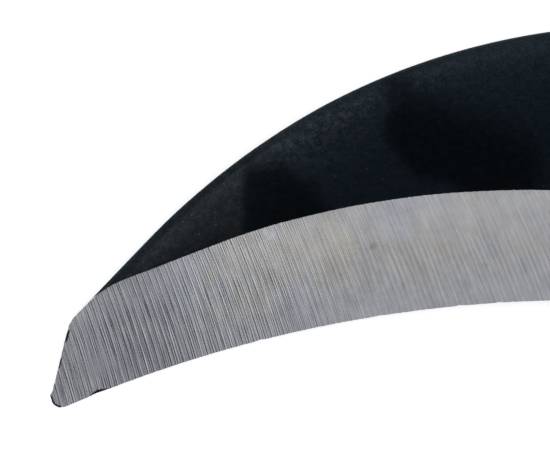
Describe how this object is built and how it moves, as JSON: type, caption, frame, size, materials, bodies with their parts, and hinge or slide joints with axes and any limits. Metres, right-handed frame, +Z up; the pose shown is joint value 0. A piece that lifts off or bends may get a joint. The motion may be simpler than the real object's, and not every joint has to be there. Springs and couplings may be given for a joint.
{
  "type": "hand sickle",
  "caption": "Right-handed hand sickle: a crescent blade ground on one face, its tang locked in a slotted hardwood handle by a wooden strip, ferrule, rivet and nail.",
  "frame": {"origin": "bottom centre of the whole sickle's box, as it lies on a table with its ground face up", "axes": "+X from the blade's tip to the handle's side, +Y from the handle's butt to the blade, +Z up out of the ground face"},
  "size_m": [0.2128, 0.4298, 0.022],
  "materials": {
    "blade_steel": "satin black lacquer on the forged faces, bright coarse grinding on the bevel",
    "handle_wood": "oiled pale hardwood",
    "strip_wood": "oiled pale hardwood",
    "ferrule_steel": "rolled mild steel, lightly tarnished",
    "rivet_steel": "peened mild steel",
    "nail_steel": "plain mild steel"
  },
  "bodies": {
    "root": {"blade": "blade_steel", "handle": "handle_wood", "tang_strip": "strip_wood", "ferrule": "ferrule_steel", "tang_rivet": "rivet_steel", "ferrule_nail": "nail_steel"}
  },
  "joints": []
}
